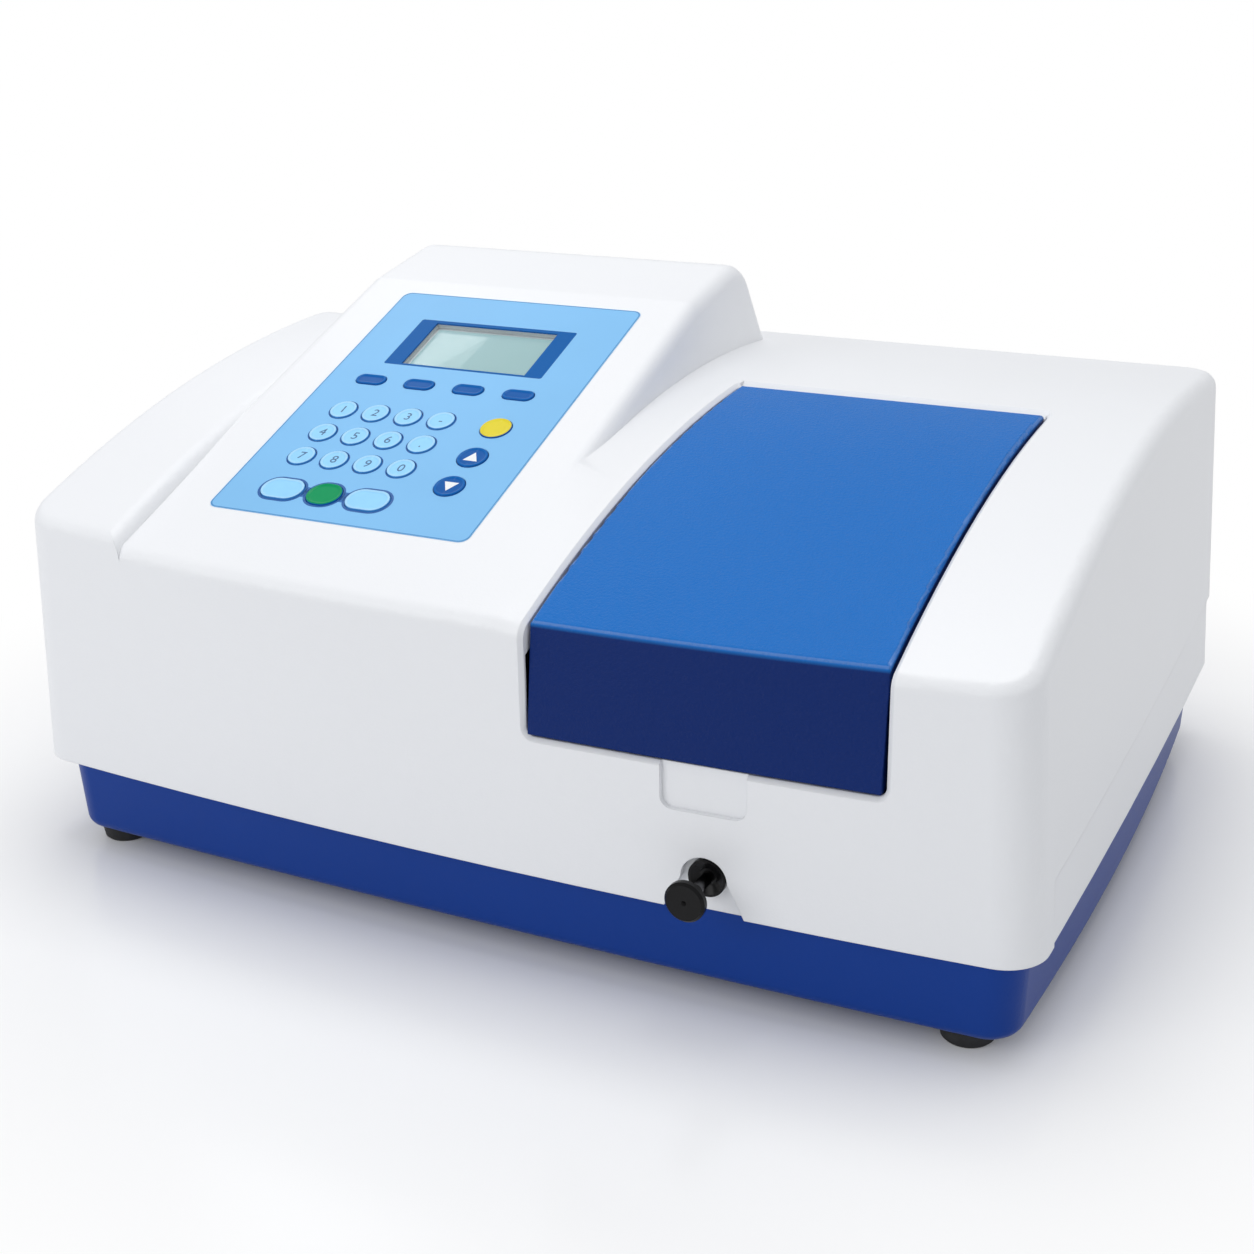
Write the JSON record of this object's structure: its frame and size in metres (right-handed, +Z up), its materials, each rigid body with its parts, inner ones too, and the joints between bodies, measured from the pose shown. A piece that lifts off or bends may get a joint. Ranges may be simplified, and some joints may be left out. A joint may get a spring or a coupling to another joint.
{
  "type": "uv-vis spectrophotometer",
  "caption": "Bench spectrophotometer with a sloping keypad console, a hinged lid over the sample compartment and a push-pull cell changer.",
  "frame": {"origin": "on the bench, midway between the cover's sides and midway between the pull knob's face and the cover's rear wall", "axes": "+Z up, -Y towards the user, so the keypad is on the left (-X) and the sample lid on the right (+X)"},
  "size_m": [0.4823, 0.387, 0.2462],
  "materials": {
    "cover_plastic": "fine-grained moulded white",
    "base_plastic": "fine-grained moulded blue",
    "foot_rubber": "matte",
    "zinc_steel": "zinc plated",
    "lid_plastic": "fine-grained moulded blue",
    "black_plastic": "matte black",
    "black_aluminium": "black anodised",
    "bright_rod": "polished",
    "knob_plastic": "gloss black",
    "lens_glass": "clear",
    "overlay_film": "satin printed film",
    "bezel_plastic": "satin",
    "window_film": "clear",
    "lcd_face": "reflective display",
    "board_green": "solder mask",
    "panel_metal": "light grey",
    "rocker_plastic": "black",
    "port_metal": "plated",
    "cast_metal": "cast",
    "lamp_glass": "fused silica",
    "key_blue": "soft printed dome",
    "key_yellow": "soft printed dome",
    "key_green": "soft printed dome"
  },
  "bodies": {
    "body": {"top_cover": "cover_plastic", "base_tray": "base_plastic", "foot_front_left": "foot_rubber", "foot_front_right": "foot_rubber", "foot_rear_left": "foot_rubber", "foot_rear_right": "foot_rubber", "foot_screws": "zinc_steel", "cover_screws": "zinc_steel", "lid_hinge_rod": "zinc_steel", "sample_well": "black_plastic", "carriage_rails": "zinc_steel", "rod_bush": "knob_plastic", "beam_lenses": "lens_glass", "keypad_overlay": "overlay_film", "display_bezel": "bezel_plastic", "display_window": "window_film", "lcd_module": "lcd_face", "key_frame": "black_plastic", "key_board": "board_green", "rear_panel": "panel_metal", "power_inlet": "black_plastic", "switch_housing": "black_plastic", "data_port": "port_metal", "fan_housing": "black_plastic", "optics_housing": "cast_metal", "optics_cover": "cast_metal", "lamp_housing": "panel_metal", "halogen_lamp": "lamp_glass", "deuterium_lamp": "lamp_glass", "detector_housing": "panel_metal", "main_board": "board_green", "power_supply": "panel_metal"},
    "lid": {"lid": "lid_plastic"},
    "cell_changer": {"cell_carriage": "black_aluminium", "pull_rod": "bright_rod", "pull_knob": "knob_plastic"},
    "rocker": {"switch_rocker": "rocker_plastic"},
    "fan": {"fan_rotor": "black_plastic"},
    "key_1": {"key_1": "key_blue"},
    "key_2": {"key_2": "key_blue"},
    "key_3": {"key_3": "key_blue"},
    "key_minus": {"key_minus": "key_blue"},
    "key_4": {"key_4": "key_blue"},
    "key_5": {"key_5": "key_blue"},
    "key_6": {"key_6": "key_blue"},
    "key_point": {"key_point": "key_blue"},
    "key_7": {"key_7": "key_blue"},
    "key_8": {"key_8": "key_blue"},
    "key_9": {"key_9": "key_blue"},
    "key_0": {"key_0": "key_blue"},
    "soft_key_1": {"soft_key_1": "key_blue"},
    "soft_key_2": {"soft_key_2": "key_blue"},
    "soft_key_3": {"soft_key_3": "key_blue"},
    "soft_key_4": {"soft_key_4": "key_blue"},
    "menu_key": {"menu_key": "key_yellow"},
    "up_key": {"up_key": "key_blue"},
    "down_key": {"down_key": "key_blue"},
    "clear_key": {"clear_key": "key_blue"},
    "start_key": {"start_key": "key_green"},
    "stop_key": {"stop_key": "key_blue"}
  },
  "joints": [
    {"name": "lid_hinge", "type": "hinge", "parent": "body", "child": "lid", "pos_m": [0.106, 0.034, 0.1932], "axis": [-1, 0, 0], "range_deg": [0, 95]},
    {"name": "cell_changer", "type": "slide", "parent": "body", "child": "cell_changer", "axis": [0, -1, 0], "range_m": [0, 0.054]},
    {"name": "power_switch", "type": "hinge", "parent": "body", "child": "rocker", "pos_m": [0.088, 0.1838, 0.099], "axis": [1, 0, 0], "range_deg": [-18, 0]},
    {"name": "fan_spin", "type": "hinge", "parent": "body", "child": "fan", "pos_m": [-0.105, 0.178, 0.099], "axis": [0, 1, 0], "continuous": true},
    {"name": "key_1_press", "type": "slide", "parent": "body", "child": "key_1", "axis": [0, 0.3502, -0.9367], "range_m": [0, 0.0007], "stiffness_N_per_m": 300},
    {"name": "key_2_press", "type": "slide", "parent": "body", "child": "key_2", "axis": [0, 0.3502, -0.9367], "range_m": [0, 0.0007], "stiffness_N_per_m": 300},
    {"name": "key_3_press", "type": "slide", "parent": "body", "child": "key_3", "axis": [0, 0.3502, -0.9367], "range_m": [0, 0.0007], "stiffness_N_per_m": 300},
    {"name": "key_minus_press", "type": "slide", "parent": "body", "child": "key_minus", "axis": [0, 0.3502, -0.9367], "range_m": [0, 0.0007], "stiffness_N_per_m": 300},
    {"name": "key_4_press", "type": "slide", "parent": "body", "child": "key_4", "axis": [0, 0.3502, -0.9367], "range_m": [0, 0.0007], "stiffness_N_per_m": 300},
    {"name": "key_5_press", "type": "slide", "parent": "body", "child": "key_5", "axis": [0, 0.3502, -0.9367], "range_m": [0, 0.0007], "stiffness_N_per_m": 300},
    {"name": "key_6_press", "type": "slide", "parent": "body", "child": "key_6", "axis": [0, 0.3502, -0.9367], "range_m": [0, 0.0007], "stiffness_N_per_m": 300},
    {"name": "key_point_press", "type": "slide", "parent": "body", "child": "key_point", "axis": [0, 0.3502, -0.9367], "range_m": [0, 0.0007], "stiffness_N_per_m": 300},
    {"name": "key_7_press", "type": "slide", "parent": "body", "child": "key_7", "axis": [0, 0.3502, -0.9367], "range_m": [0, 0.0007], "stiffness_N_per_m": 300},
    {"name": "key_8_press", "type": "slide", "parent": "body", "child": "key_8", "axis": [0, 0.3502, -0.9367], "range_m": [0, 0.0007], "stiffness_N_per_m": 300},
    {"name": "key_9_press", "type": "slide", "parent": "body", "child": "key_9", "axis": [0, 0.3502, -0.9367], "range_m": [0, 0.0007], "stiffness_N_per_m": 300},
    {"name": "key_0_press", "type": "slide", "parent": "body", "child": "key_0", "axis": [0, 0.3502, -0.9367], "range_m": [0, 0.0007], "stiffness_N_per_m": 300},
    {"name": "soft_key_1_press", "type": "slide", "parent": "body", "child": "soft_key_1", "axis": [0, 0.3502, -0.9367], "range_m": [0, 0.0007], "stiffness_N_per_m": 300},
    {"name": "soft_key_2_press", "type": "slide", "parent": "body", "child": "soft_key_2", "axis": [0, 0.3502, -0.9367], "range_m": [0, 0.0007], "stiffness_N_per_m": 300},
    {"name": "soft_key_3_press", "type": "slide", "parent": "body", "child": "soft_key_3", "axis": [0, 0.3502, -0.9367], "range_m": [0, 0.0007], "stiffness_N_per_m": 300},
    {"name": "soft_key_4_press", "type": "slide", "parent": "body", "child": "soft_key_4", "axis": [0, 0.3502, -0.9367], "range_m": [0, 0.0007], "stiffness_N_per_m": 300},
    {"name": "menu_key_press", "type": "slide", "parent": "body", "child": "menu_key", "axis": [0, 0.3502, -0.9367], "range_m": [0, 0.0007], "stiffness_N_per_m": 300},
    {"name": "up_key_press", "type": "slide", "parent": "body", "child": "up_key", "axis": [0, 0.3502, -0.9367], "range_m": [0, 0.0007], "stiffness_N_per_m": 300},
    {"name": "down_key_press", "type": "slide", "parent": "body", "child": "down_key", "axis": [0, 0.3502, -0.9367], "range_m": [0, 0.0007], "stiffness_N_per_m": 300},
    {"name": "clear_key_press", "type": "slide", "parent": "body", "child": "clear_key", "axis": [0, 0.3502, -0.9367], "range_m": [0, 0.0007], "stiffness_N_per_m": 300},
    {"name": "start_key_press", "type": "slide", "parent": "body", "child": "start_key", "axis": [0, 0.3502, -0.9367], "range_m": [0, 0.0007], "stiffness_N_per_m": 300},
    {"name": "stop_key_press", "type": "slide", "parent": "body", "child": "stop_key", "axis": [0, 0.3502, -0.9367], "range_m": [0, 0.0007], "stiffness_N_per_m": 300}
  ]
}
